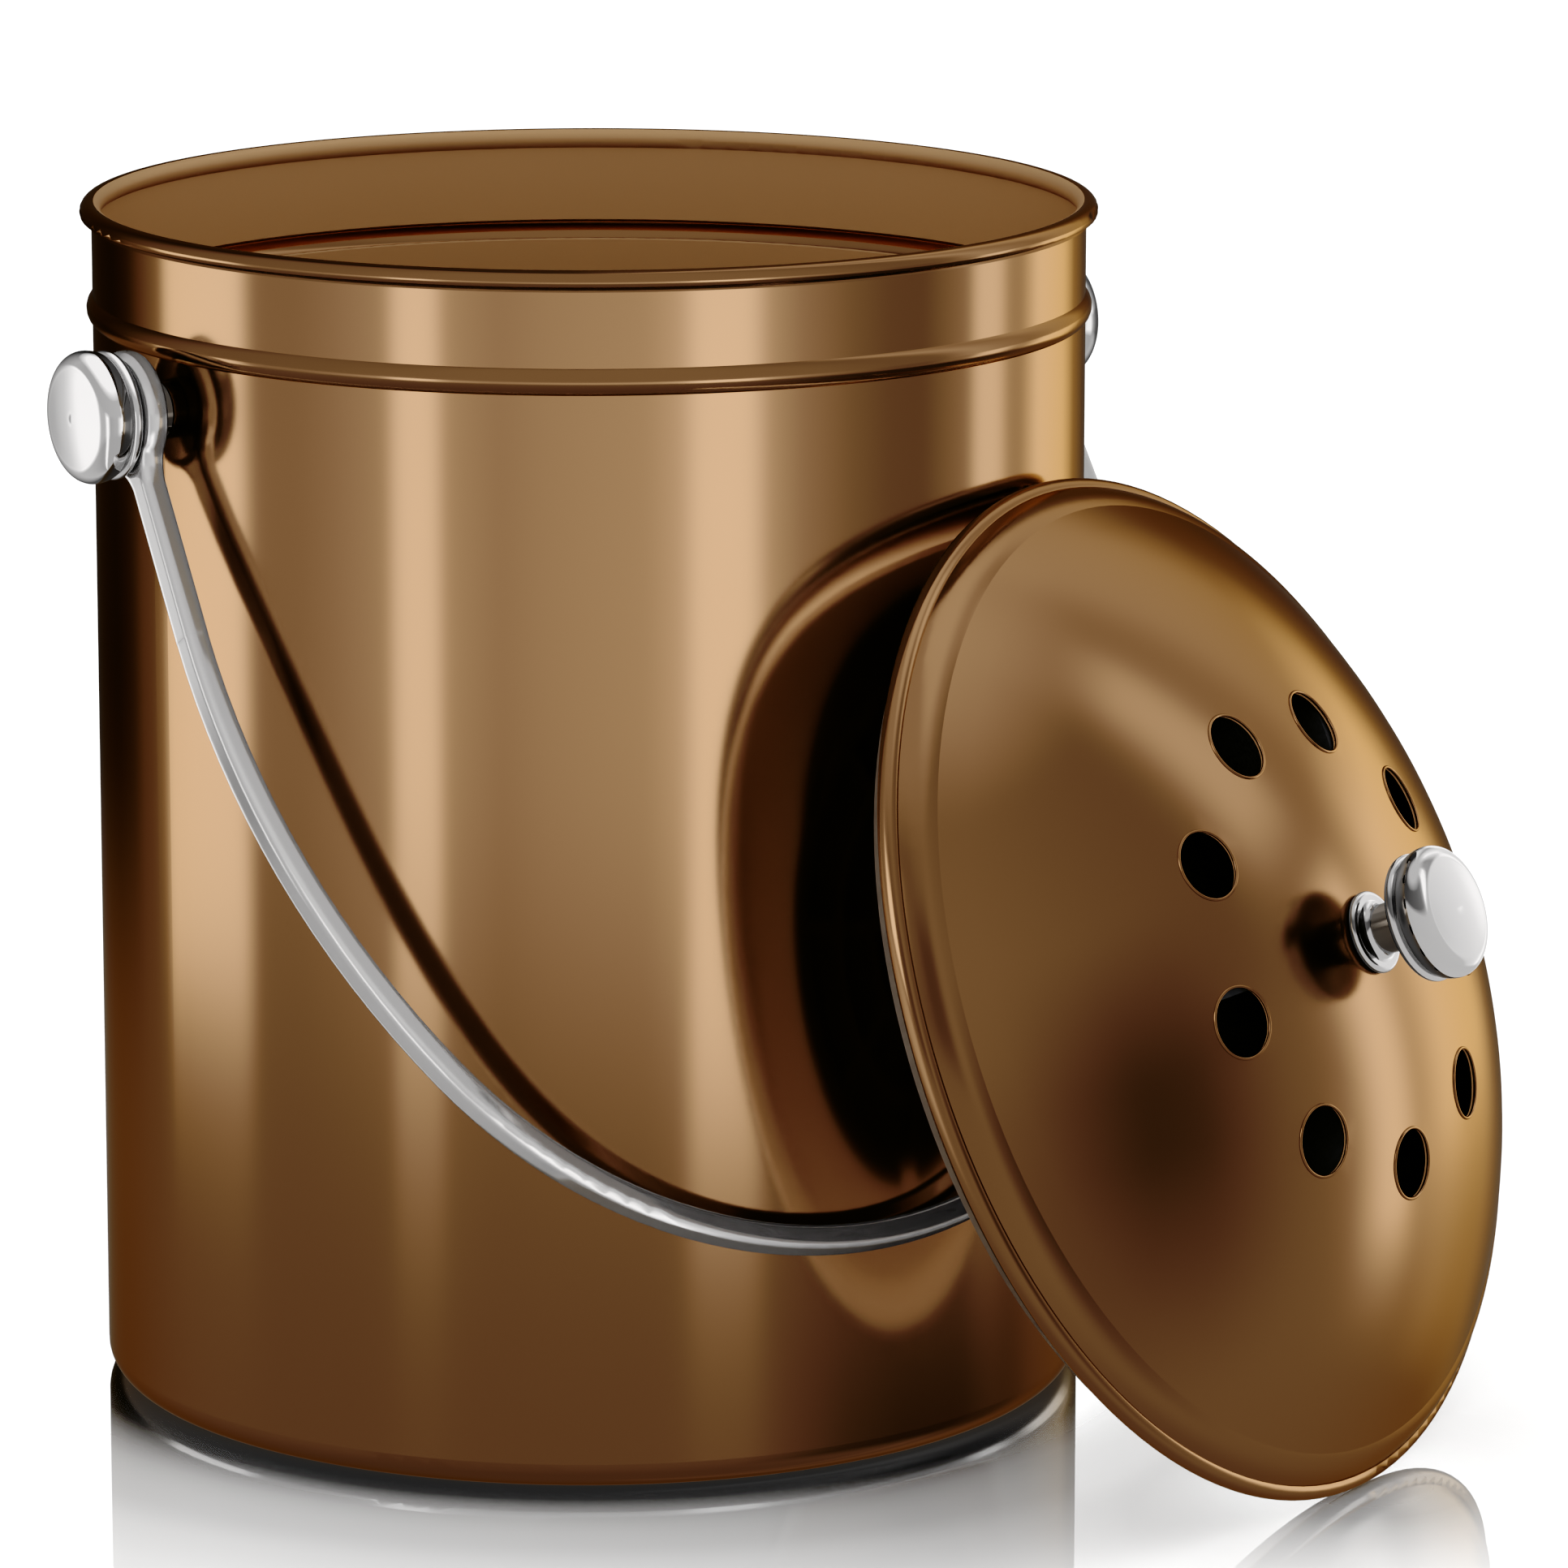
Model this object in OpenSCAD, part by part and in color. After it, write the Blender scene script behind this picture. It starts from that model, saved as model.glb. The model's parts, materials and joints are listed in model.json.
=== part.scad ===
// Countertop compost caddy: a drawn steel pail with a rolled rim and a swage bead, a bail
// handle hung on two knobbed pivots, and a separate domed lid that leans on the pail.
// The lid carries two charcoal filters in a carrier that a twist-lock grille closes.
// Millimetres. The origin is the centre of the pail's base, Z up, the pivots' axis along X.

/* [Pail] */
// Outer radius of the pail's wall
pail_r = 89.5; // [85:0.5:95]
// Height from the base to the top of the rim
pail_h = 216; // [205:1:230]
// Thickness of the steel sheet of the pail and the lid
sheet_t = 0.7; // [0.6:0.05:0.9]
// Outer radius of the corner between the wall and the base
base_corner_r = 5; // [4:0.5:8]
// Radius of the raised panel in the base
base_panel_r = 72; // [60:1:76]
// Height of the raised panel above the ring that the pail stands on
base_panel_rise = 1.2; // [0.8:0.1:2]
// Radius of the tube that the rolled rim makes
rim_curl_r = 1.9; // [1.6:0.1:2.2]
// Depth of the swage bead's middle below the top of the rim
bead_drop = 19.3; // [16:0.1:20]
// Radius of the swage bead's section
bead_r = 3; // [2.6:0.1:3.4]
// How far the swage bead stands out of the wall
bead_bulge = 1.1; // [0.8:0.1:1.4]

/* [Handle pivots] */
// Depth of the pivots' axis below the top of the rim
pivot_drop = 30.9; // [29:0.1:36]
// Radius of the spacer that keeps the handle off the wall
spacer_r = 5.2; // [4.6:0.1:6]
// How far the spacer's shoulder stands off the pail's wall
spacer_standoff = 3.1; // [2.8:0.1:4]
// Radius of the pin that the handle's eye turns on
pin_r = 3; // [2.6:0.1:3.4]
// Radius of the screw that holds a pivot from inside the pail
screw_r = 2; // [1.5:0.1:2.2]
// Length of the screw's shank inside the spacer
screw_grip = 9; // [6:0.5:10]
// Radius of the screw's round head
screw_head_r = 4; // [3.6:0.1:4.4]
// Height of the screw's round head
screw_head_h = 2.4; // [2:0.1:3]
// Radius of the sealing washer inside the pail
seal_washer_r = 5.6; // [5:0.1:6.4]
// Thickness of the sealing washer inside the pail
seal_washer_t = 1; // [0.8:0.1:1.4]

/* [Knobs] */
// Outer radius of the three round knobs
knob_r = 11.7; // [11:0.1:12.4]
// Thickness of a knob from its back lip to its crowned face
knob_t = 8.4; // [7.6:0.1:9.2]
// Radius of the rounding round a knob's face
knob_round = 3.1; // [2.6:0.1:3.4]
// Radius of the fuller rounding behind a knob's widest line
knob_back_round = 5; // [4:0.1:6]
// Radius of the rounded lip at a knob's back
knob_lip_r = 0.95; // [0.6:0.05:1.1]
// How far the lip stays inside the knob's widest line
knob_lip_in = 0.35; // [0.2:0.05:0.8]
// How far a knob's face is crowned
knob_crown = 0.45; // [0.2:0.05:0.8]

/* [Handle] */
// Distance from the pivots' axis to the middle of the bar at the bottom of the handle's loop
bail_depth = 169.4; // [160:0.1:180]
// How much smaller the loop's bottom bend is than the reach of the eyes
bail_draw_in = 8.65; // [6:0.05:11]
// Angle from the loop's lowest point to the end of its bottom bend
bail_bottom_angle = 58.4; // [50:0.1:64]
// Radius of the long bends up the loop's two sides
bail_side_r = 154.6; // [150:0.1:170]
// Width of the handle's bar, across the loop's plane
bar_w = 5.7; // [5:0.1:6.4]
// Thickness of the handle's bar, in the loop's plane
bar_t = 4.5; // [4:0.1:5]
// Radius of the bar's rounded edges
bar_edge_r = 1.4; // [1:0.1:1.8]
// Outer radius of the eye at each end of the handle
eye_r = 11; // [10:0.1:12]
// Thickness of the eye
eye_t = 4.9; // [4.7:0.1:5.4]
// Radius of the recess in the eye's outer face
eye_recess_r = 8.4; // [7.6:0.1:9]
// Depth of the recess in the eye's outer face
eye_recess_depth = 1.6; // [1.2:0.1:2]
// Radius of the fillets where an eye narrows into the bar
neck_fillet_r = 8; // [5:0.5:10]

/* [Lid] */
// How far the lid's rolled edge stands out beyond the pail's rim
lid_overhang = 0.7; // [0.2:0.1:3]
// Outer radius of the ball that the dome is a cap of
dome_ball_r = 138; // [132:1:150]
// How far inside the lid's edge the shoulder meets the dome
shoulder_in = 6.8; // [6:0.1:8]
// Height of the meeting of shoulder and dome above the lid's edge
shoulder_h = 8.5; // [8:0.1:10]
// Outer radius of the rounded shoulder's section
shoulder_round = 9.9; // [9.5:0.1:11]
// Angle of the shoulder's section between its widest point and the dome
shoulder_sweep = 65; // [60:1:70]
// Number of vent holes
vent_count = 9; // [6:1:10]
// Radius of a vent hole
vent_r = 6.2; // [4.5:0.1:7]
// Distance of the vent holes' middles from the lid's axis
vent_ring_r = 40.3; // [36:0.1:44]
// Turn of the vent holes about the lid's axis
vent_turn = 28.9; // [0:0.1:40]

/* [Lid knob] */
// Radius of the stem under the lid's knob
stem_r = 4.4; // [4:0.1:5]
// Clear length of the stem between its foot and the knob
stem_len = 8.3; // [6:0.1:12]
// Radius of the stem's foot on the dome
foot_r = 7.3; // [6.5:0.1:8]
// Thickness of the stem's foot
foot_t = 1.7; // [1.4:0.1:2.6]
// Radius of the hollow fillet between the foot and the stem
foot_fillet_r = 1.4; // [0.8:0.1:2]

/* [Lid seal] */
// Play of the seal's lip inside the pail's wall, on the radius
lip_play = 1.4; // [1:0.1:2.5]
// Thickness of the seal's lip
lip_t = 1.5; // [1.2:0.1:2]
// How far the lip reaches below the lid's edge
lip_drop = 3.5; // [2.5:0.1:4]
// Width of the seal, from its lip's outside inwards
seal_w = 3.2; // [2.8:0.1:4]

/* [Filters] */
// How far the carrier's wall stays inside the meeting of shoulder and dome
carrier_inset = 27; // [24:0.5:30]
// Thickness of the carrier's wall
carrier_t = 2.4; // [2:0.1:3]
// Height of the carrier's lower edge above the lid's edge
carrier_foot_h = 1.4; // [1:0.1:2.5]
// Number of the carrier's spokes
carrier_spokes = 6; // [4:1:8]
// Thickness of one charcoal filter
filter_t = 6; // [5:0.5:7]
// Height of the lower filter's underside above the lid's edge
filter_foot_h = 7.4; // [7:0.1:9]
// Thickness of the twist-lock grille
grille_t = 3; // [2.6:0.1:3.4]
// Width of the twist-lock grille's bars
grille_bar_w = 3; // [2.4:0.1:4]
// Number of the twist-lock grille's spokes
grille_spokes = 8; // [6:1:10]
// Number of locking lugs
lug_count = 3; // [2:1:4]
// Angle that one locking lug covers
lug_sweep = 8; // [6:1:10]
// Turn of the grille between locked and free
lock_turn = 28; // [24:1:32]

/* [Lid on its edge] */
// Angle between the leaning lid and the upright
lean = 21.7; // [18:0.1:26]
// Direction in which the lid leans away from the pail, from +X towards +Y
lean_side = -65.5; // [-80:0.5:-50]

/* [Clearances] */
// Gap between pieces that move past each other
move_gap = 0.3; // [0.25:0.05:0.5]
// Gap between pieces that are fixed together
seat_gap = 0.1; // [0.05:0.01:0.15]
// Running clearance of the handle's eye on its pin, on the radius
pin_gap = 0.08; // [0.05:0.01:0.1]

/* [Hidden] */
$fn = 96;
eps = 0.01;
far = 400;
// Turns round walls so that their seams miss the slots, lugs and spokes.
seam_turn = 80;

bronze = [0.50, 0.33, 0.17];
chrome = [0.80, 0.79, 0.78];
rubber_black = [0.05, 0.05, 0.05];
silicone_grey = [0.35, 0.34, 0.33];
plastic_black = [0.10, 0.10, 0.10];
charcoal = [0.07, 0.07, 0.07];

pail_in_r = pail_r - sheet_t;
rim_curl_x = pail_in_r + rim_curl_r - 1;
rim_curl_z = pail_h - rim_curl_r;
// Where each rolled edge's sheet ends, on its hidden side, as angles from +X.
rim_gap_from = -70;
rim_gap_to = -25;
lid_gap_from = -165;
lid_gap_to = -120;
bead_z = pail_h - bead_drop;
bead_x = pail_r + bead_bulge - bead_r;

// Places along the pivots' axis, measured outwards from the pail's axis.
pivot_z = pail_h - pivot_drop;
shoulder_x = pail_r + spacer_standoff;
eye_in_x = shoulder_x + move_gap;
eye_out_x = eye_in_x + eye_t;
eye_mid_x = eye_in_x + eye_t / 2;
recess_x = eye_out_x - eye_recess_depth;
washer_in_x = recess_x + move_gap;
washer_r = eye_recess_r - move_gap;
knob_back_x = eye_out_x + 0.7;
knob_bore_depth = 5.5;
pin_end_x = knob_back_x + knob_bore_depth - seat_gap;
wall_seat_x = sqrt(pow(pail_in_r, 2) - pow(seal_washer_r, 2)) - seat_gap;
screw_head_x = wall_seat_x - seal_washer_t - seat_gap;
screw_tip_x = pail_r + screw_grip;

// The handle's loop in its own plane: +X towards the right pivot, -Y towards the loop's bottom.
bail_bottom_r = eye_mid_x - bail_draw_in;
bottom_bend_y = bail_bottom_r - bail_depth;
side_bend_x = -(bail_side_r - bail_bottom_r) * sin(bail_bottom_angle);
side_bend_y = bottom_bend_y + (bail_side_r - bail_bottom_r) * cos(bail_bottom_angle);
eye_to_bend = norm([eye_mid_x - side_bend_x, side_bend_y]);
leg_angle = floor(100 * (atan2(-side_bend_y, eye_mid_x - side_bend_x) - acos(bail_side_r / eye_to_bend))) / 100;
leg_len = sqrt(pow(eye_to_bend, 2) - pow(bail_side_r, 2));
// The forged legs are this much fuller than the bar all round, and take in the bends' ends.
leg_grow = 0.04;
// The fillets' middles, measured down the leg from the pivot and sideways from the leg.
neck_disc_r = eye_r - 0.15;
neck_side = bar_w / 2 + neck_fillet_r;
neck_down = sqrt(pow(neck_disc_r + neck_fillet_r, 2) - pow(neck_side, 2));
neck_top = neck_down * neck_disc_r / (neck_disc_r + neck_fillet_r);

// The handle hangs against the pail's wall: the bar's reach towards the wall sets its angle.
function bar_reach(swing) =
    (bar_w / 2 - bar_edge_r) * cos(swing) + (bar_t / 2 - bar_edge_r) * sin(swing) + bar_edge_r;
function hang_angle(reach) = asin((pail_r + move_gap + reach) / bail_depth);
hang = hang_angle(bar_reach(hang_angle(bar_w / 2)));

// Heights inside the lid are measured from the plane of its edge, outwards along its axis.
lid_r = rim_curl_x + rim_curl_r + lid_overhang;
shoulder_r = lid_r - shoulder_in;
lip_r = pail_in_r - lip_play;
seal_in_r = lip_r - seal_w;
dome_z = shoulder_h - sqrt(pow(dome_ball_r, 2) - pow(shoulder_r, 2));
dome_top = dome_z + dome_ball_r;
dome_in_r = dome_ball_r - sheet_t;
shoulder_x0 = shoulder_r - shoulder_round * cos(shoulder_sweep);
shoulder_z0 = shoulder_h - shoulder_round * sin(shoulder_sweep);
lid_curl_x = lid_r - rim_curl_r;
foot_z = dome_top - 0.15;
stem_top = foot_z + foot_t + stem_len;
carrier_r = shoulder_r - carrier_inset;
carrier_in_r = carrier_r - carrier_t;
filter_r = carrier_in_r - 1;
grille_r = carrier_in_r - move_gap;
grille_h = filter_foot_h - move_gap - grille_t;
lug_reach = carrier_r - seat_gap;
lug_t = 1.8;
spacer_h = 1;
lower_top = filter_foot_h + filter_t;
upper_foot = lower_top + spacer_h + 2 * seat_gap;
upper_top = upper_foot + filter_t;
spoke_foot = upper_top + seat_gap;
boss_r = 9;
lid_screw_head_h = spoke_foot + 0.8 - 0.6 - 2 * seat_gap;

// The lid stands on its edge and its seal's lip leans on the wall.
lid_out = pail_r + move_gap + lip_r * sin(lean) + lip_drop * cos(lean);
lid_up = move_gap + rim_curl_r + lid_curl_x * cos(lean) - rim_curl_r * sin(lean);

// A curl of sheet: a ring with a gap, so that its inside is open. Angles run from +X.
module curl_section(x, z, gap_from, gap_to) {
    translate([x, z]) difference() {
        circle(r = rim_curl_r);
        circle(r = rim_curl_r - sheet_t);
        gap_mid = (gap_from + gap_to) / 2;
        polygon([
            [0, 0], 4 * [cos(gap_from), sin(gap_from)],
            4 * [cos(gap_mid), sin(gap_mid)], 4 * [cos(gap_to), sin(gap_to)]
        ]);
    }
}

// A filled pail section with a rounded corner and the base's raised panel cut out of it.
module pail_section(r, corner, z0) {
    difference() {
        union() {
            translate([0, z0]) square([r - corner, pail_h - rim_curl_r - z0]);
            translate([0, z0 + corner]) square([r, pail_h - rim_curl_r - z0 - corner]);
            translate([r - corner, z0 + corner]) circle(r = corner);
        }
        translate([0, z0]) polygon([
            [0, -1], [base_panel_r + 3, -1], [base_panel_r + 3, 0],
            [base_panel_r, base_panel_rise], [0, base_panel_rise]
        ]);
    }
}

module pail_shell() {
    color(bronze) difference() {
        rotate_extrude($fn = 180) difference() {
            union() {
                difference() {
                    union() {
                        pail_section(pail_r, base_corner_r, 0);
                        intersection() {
                            translate([bead_x, bead_z]) circle(r = bead_r);
                            translate([pail_in_r, 0]) square([2 * bead_r, pail_h]);
                        }
                    }
                    translate([0, eps]) pail_section(pail_in_r, base_corner_r - sheet_t, sheet_t - eps);
                    translate([bead_x, bead_z]) circle(r = bead_r - sheet_t);
                    translate([rim_curl_x, rim_curl_z]) circle(r = rim_curl_r - sheet_t / 2);
                }
                curl_section(rim_curl_x, rim_curl_z, rim_gap_from, rim_gap_to);
            }
            translate([-far, -far]) square([far, 3 * far]);
        }
        for (side = [-1, 1])
            translate([side * pail_r, 0, pivot_z]) rotate([0, 90, 0])
                cylinder(r = screw_r + seat_gap, h = 4 * spacer_r, center = true, $fn = 32);
    }
}

// Puts a turned piece on the right pivot, its outward axis along +X, or mirrors it to the left.
module at_pivot(side) {
    mirror([side < 0 ? 1 : 0, 0, 0]) translate([0, 0, pivot_z]) rotate([0, 90, 0]) children();
}

// The spacer's inner end is saddled to the pail's wall, and its pin carries the eye and the knob.
module pivot_post(side) {
    color(chrome) difference() {
        at_pivot(side) {
            translate([0, 0, pail_r - 2]) cylinder(r = spacer_r, h = spacer_standoff + 2);
            translate([0, 0, shoulder_x - 1]) cylinder(r = pin_r, h = pin_end_x - shoulder_x + 1);
        }
        translate([0, 0, pivot_z - 2 * spacer_r]) cylinder(r = pail_r + seat_gap, h = 4 * spacer_r, $fn = 180);
        at_pivot(side) cylinder(r = screw_r + seat_gap / 2, h = screw_tip_x + 1, $fn = 32);
    }
}

// Half the section of a round knob, its back at z = 0.
module knob_section() {
    rim_x = knob_r - knob_round;
    face_z = knob_t - knob_crown;
    waist_z = face_z - knob_round;
    lip_x = knob_r - knob_lip_in - knob_lip_r;
    crown_ball = (pow(rim_x, 2) + pow(knob_crown, 2)) / (2 * knob_crown);
    intersection() {
        union() {
            square([rim_x, face_z]);
            intersection() {
                translate([rim_x, waist_z]) circle(r = knob_round);
                translate([0, waist_z]) square([2 * knob_r, knob_round]);
            }
            intersection() {
                translate([knob_r - knob_back_round, waist_z]) circle(r = knob_back_round);
                translate([0, knob_lip_r]) square([2 * knob_r, waist_z - knob_lip_r]);
            }
            square([lip_x, 2 * knob_lip_r]);
            translate([lip_x, knob_lip_r]) circle(r = knob_lip_r);
            intersection() {
                translate([0, knob_t - crown_ball]) circle(r = crown_ball, $fn = 360);
                square([rim_x, knob_t]);
            }
        }
        square([2 * knob_r, knob_t]);
    }
}

module handle_knob(side) {
    color(chrome) difference() {
        at_pivot(side) translate([0, 0, knob_back_x]) rotate_extrude() knob_section();
        at_pivot(side) cylinder(r = pin_r + seat_gap / 2, h = knob_back_x + knob_bore_depth);
    }
}

// Lies in the eye's recess, between the eye and the knob.
module pivot_washer(side) {
    color(rubber_black) at_pivot(side) translate([0, 0, washer_in_x]) difference() {
        cylinder(r = washer_r, h = knob_back_x - washer_in_x - seat_gap);
        translate([0, 0, -1]) cylinder(r = pin_r + seat_gap, h = 10);
    }
}

module screw_seal(side) {
    color(rubber_black) at_pivot(side) translate([0, 0, wall_seat_x - seal_washer_t]) difference() {
        cylinder(r = seal_washer_r, h = seal_washer_t);
        translate([0, 0, -1]) cylinder(r = screw_r + seat_gap, h = 10, $fn = 32);
    }
}

// A round-headed screw with a crossed drive, its head at z < 0 and its shank towards +Z.
module round_screw(shank) {
    head_ball = (pow(screw_head_r, 2) + pow(screw_head_h, 2)) / (2 * screw_head_h);
    difference() {
        union() {
            cylinder(r = screw_r, h = shank, $fn = 32);
            intersection() {
                translate([0, 0, head_ball - screw_head_h]) sphere(r = head_ball);
                translate([0, 0, -screw_head_h]) cylinder(r = screw_head_r, h = screw_head_h);
            }
        }
        for (turn = [0, 90]) rotate([0, 0, turn])
            translate([0, 0, -screw_head_h]) cube([screw_head_r, 0.9, 2.4], center = true);
    }
}

module pivot_screw(side) {
    color(chrome) at_pivot(side) translate([0, 0, screw_head_x]) round_screw(screw_tip_x - screw_head_x);
}

// The bar's section, centred: its thickness lies along X and its width along Y.
module bar_section(grow = 0) {
    square([bar_t - 2 * bar_edge_r, bar_w + 2 * grow], center = true);
    square([bar_t + 2 * grow, bar_w - 2 * bar_edge_r], center = true);
    for (x = [-1, 1], y = [-1, 1])
        translate([x * (bar_t / 2 - bar_edge_r), y * (bar_w / 2 - bar_edge_r)])
            circle(r = bar_edge_r + grow, $fn = 32);
}

// A bend of the bar in the XY plane, about the origin.
module bar_bend(r, from, sweep) {
    rotate([0, 0, from]) rotate_extrude(angle = sweep, $fn = 180) translate([r, 0]) bar_section();
}

// The eye: a ring with a rounded outer edge and a recess for the washer, its inner face at z = 0.
module eye() {
    edge = eye_t / 2 - 0.4;
    difference() {
        rotate_extrude() {
            square([eye_r - edge, eye_t]);
            square_h = eye_t - 2 * edge;
            translate([0, edge]) square([eye_r, square_h]);
            for (z = [edge, eye_t - edge]) translate([eye_r - edge, z]) circle(r = edge);
        }
        translate([0, 0, -1]) cylinder(r = pin_r + pin_gap, h = eye_t + 2);
        translate([0, 0, eye_t - eye_recess_depth]) cylinder(r = eye_recess_r, h = eye_t);
    }
}

function neck_half_width(down) =
    neck_side - sqrt(pow(neck_fillet_r, 2) - pow(min(neck_down - down, neck_fillet_r), 2));

// One section of the neck: [distance down the leg, half its width, half its thickness, edge radius].
function neck_ring(d) = [
    for (q = [0 : 3], k = [0 : 5]) let (a = 90 * q + 18 * k, x = (q == 0 || q == 3) ? 1 : -1, z = q < 2 ? 1 : -1)
        [x * (d[2] - d[3]) + d[3] * cos(a), -d[0], z * (d[1] - d[3]) + d[3] * sin(a)]
];

// The neck narrows from the eye to the bar, down from the pivot at the origin.
module bail_neck() {
    steps = 8;
    full = bar_t / 2 + 2 * leg_grow;
    sunk = bar_t / 2;
    rings = concat(
        [[neck_top - 2.5, neck_half_width(neck_top) - 0.2, full, 2]],
        [for (i = [0 : steps]) let (f = i / steps, down = neck_top + (neck_down - neck_top) * f)
            [down, neck_half_width(down), f < 0.5 ? full : full + (sunk - full) * (2 * f - 1), 2 + (bar_edge_r - 2) * f]],
        [[neck_down + 1, bar_w / 2 - leg_grow, sunk - leg_grow, bar_edge_r]]
    );
    n = 24;
    last = len(rings) - 1;
    polyhedron(
        points = [for (d = rings) each neck_ring(d)],
        faces = concat(
            [[for (j = [0 : n - 1]) j]],
            [[for (j = [n - 1 : -1 : 0]) last * n + j]],
            [for (i = [0 : last - 1], j = [0 : n - 1]) let (k = (j + 1) % n) [i * n + j, (i + 1) * n + k, i * n + k]],
            [for (i = [0 : last - 1], j = [0 : n - 1]) let (k = (j + 1) % n) [i * n + j, (i + 1) * n + j, (i + 1) * n + k]]
        )
    );
}

// One half of the loop, on the right, in the loop's plane.
module bail_half() {
    translate([0, bottom_bend_y]) bar_bend(bail_bottom_r, -90, bail_bottom_angle);
    translate([side_bend_x, side_bend_y])
        bar_bend(bail_side_r, bail_bottom_angle - 90, 90 - bail_bottom_angle + leg_angle);
    difference() {
        translate([side_bend_x, side_bend_y]) rotate([0, 0, leg_angle]) translate([bail_side_r, -1, 0])
            rotate([-90, 0, 0]) linear_extrude(height = leg_len + 1) bar_section(leg_grow);
        translate([eye_in_x - 1, 0, 0]) rotate([0, 90, 0]) cylinder(r = eye_r + 1, h = eye_t + 2);
    }
    difference() {
        translate([side_bend_x, side_bend_y]) rotate([0, 0, leg_angle]) translate([bail_side_r, leg_len, 0])
            bail_neck();
        translate([eye_in_x - 1, 0, 0]) rotate([0, 90, 0]) cylinder(r = eye_recess_r + 0.6, h = eye_t + 2);
    }
    translate([eye_in_x, 0, 0]) rotate([0, 90, 0]) eye();
}

module bail_handle() {
    color(chrome) translate([0, 0, pivot_z]) rotate([90 - hang, 0, 0]) {
        bail_half();
        mirror([1, 0, 0]) bail_half();
    }
}

// From the lid's own frame, its edge at z = 0 and its dome towards +Z, to its place on the wall.
module lean_lid() {
    rotate([0, 0, lean_side]) translate([lid_out, 0, lid_up]) rotate([0, 90 - lean, 0])
        rotate([0, 0, 90]) children();
}

module lid_section() {
    difference() {
        union() {
            intersection() {
                difference() {
                    translate([0, dome_z]) circle(r = dome_ball_r, $fn = 720);
                    translate([0, dome_z]) circle(r = dome_in_r, $fn = 720);
                }
                square([shoulder_r, dome_top + 1]);
            }
            intersection() {
                difference() {
                    translate([shoulder_x0, shoulder_z0]) circle(r = shoulder_round, $fn = 180);
                    translate([shoulder_x0, shoulder_z0]) circle(r = shoulder_round - sheet_t, $fn = 180);
                }
                translate([shoulder_r - sheet_t / 2, rim_curl_r]) square([lid_r, 2 * shoulder_h]);
            }
        }
        translate([lid_curl_x, rim_curl_r]) circle(r = rim_curl_r - sheet_t / 2);
    }
    curl_section(lid_curl_x, rim_curl_r, lid_gap_from, lid_gap_to);
}

module lid_shell() {
    vent_tilt = asin(vent_ring_r / dome_ball_r);
    color(bronze) lean_lid() difference() {
        rotate_extrude($fn = 180) lid_section();
        for (i = [0 : vent_count - 1]) rotate([0, 0, vent_turn + i * 360 / vent_count])
            translate([0, 0, dome_z]) rotate([0, vent_tilt, 0]) translate([0, 0, dome_ball_r - 6])
                cylinder(r = vent_r, h = 12, $fn = 64);
        translate([0, 0, dome_top - 6]) cylinder(r = screw_r + seat_gap, h = 12, $fn = 32);
    }
}

// A soft ring under the shoulder, with a lip that goes inside the pail's rim.
module lid_seal() {
    ring_top_r = shoulder_round - sheet_t - move_gap;
    color(silicone_grey) lean_lid() rotate_extrude($fn = 180) difference() {
        union() {
            intersection() {
                translate([shoulder_x0, shoulder_z0]) circle(r = ring_top_r, $fn = 180);
                translate([seal_in_r, 0.5]) square([lip_r - seal_in_r, 2 * shoulder_h]);
            }
            translate([lip_r - lip_t, -lip_drop]) square([lip_t, lip_drop + 1]);
        }
        translate([lid_curl_x, rim_curl_r]) circle(r = rim_curl_r + move_gap);
    }
}

module lid_knob_stem() {
    foot_round = foot_t / 2;
    fillet_sink = 0.02;
    color(chrome) lean_lid() difference() {
        translate([0, 0, foot_z]) rotate_extrude() {
            square([foot_r - foot_round, foot_t]);
            translate([foot_r - foot_round, foot_round]) circle(r = foot_round);
            difference() {
                translate([0, foot_t / 2]) square([stem_r + foot_fillet_r, foot_t / 2 + foot_fillet_r]);
                translate([stem_r + foot_fillet_r, foot_t + foot_fillet_r])
                    circle(r = foot_fillet_r + fillet_sink);
            }
            square([stem_r, foot_t + stem_len]);
            square([pin_r, foot_t + stem_len + knob_bore_depth - seat_gap]);
        }
        translate([0, 0, dome_z]) sphere(r = dome_ball_r + seat_gap, $fn = 180);
        translate([0, 0, foot_z - 1]) cylinder(r = screw_r + seat_gap / 2, h = foot_t + stem_len, $fn = 32);
    }
}

module lid_knob() {
    color(chrome) lean_lid() translate([0, 0, stem_top + seat_gap]) difference() {
        rotate_extrude() knob_section();
        translate([0, 0, -1]) cylinder(r = pin_r + seat_gap / 2, h = knob_bore_depth + 1);
    }
}

// Holds the stem, the dome and the carrier together, from inside the lid.
module lid_screw() {
    color(chrome) lean_lid() translate([0, 0, lid_screw_head_h]) round_screw(foot_z + foot_t + 5 - lid_screw_head_h);
}

module lid_washer() {
    color(chrome) lean_lid() translate([0, 0, lid_screw_head_h + seat_gap]) difference() {
        cylinder(r = screw_head_r + 1.5, h = 0.6);
        translate([0, 0, -1]) cylinder(r = screw_r + seat_gap, h = 3, $fn = 32);
    }
}

// A ring sector with exact round faces, as thick as h, from z = 0.
module ring_sector(r0, r1, from, sweep, h) {
    rotate([0, 0, from]) rotate_extrude(angle = sweep) translate([r0, 0]) square([r1 - r0, h]);
}

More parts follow.
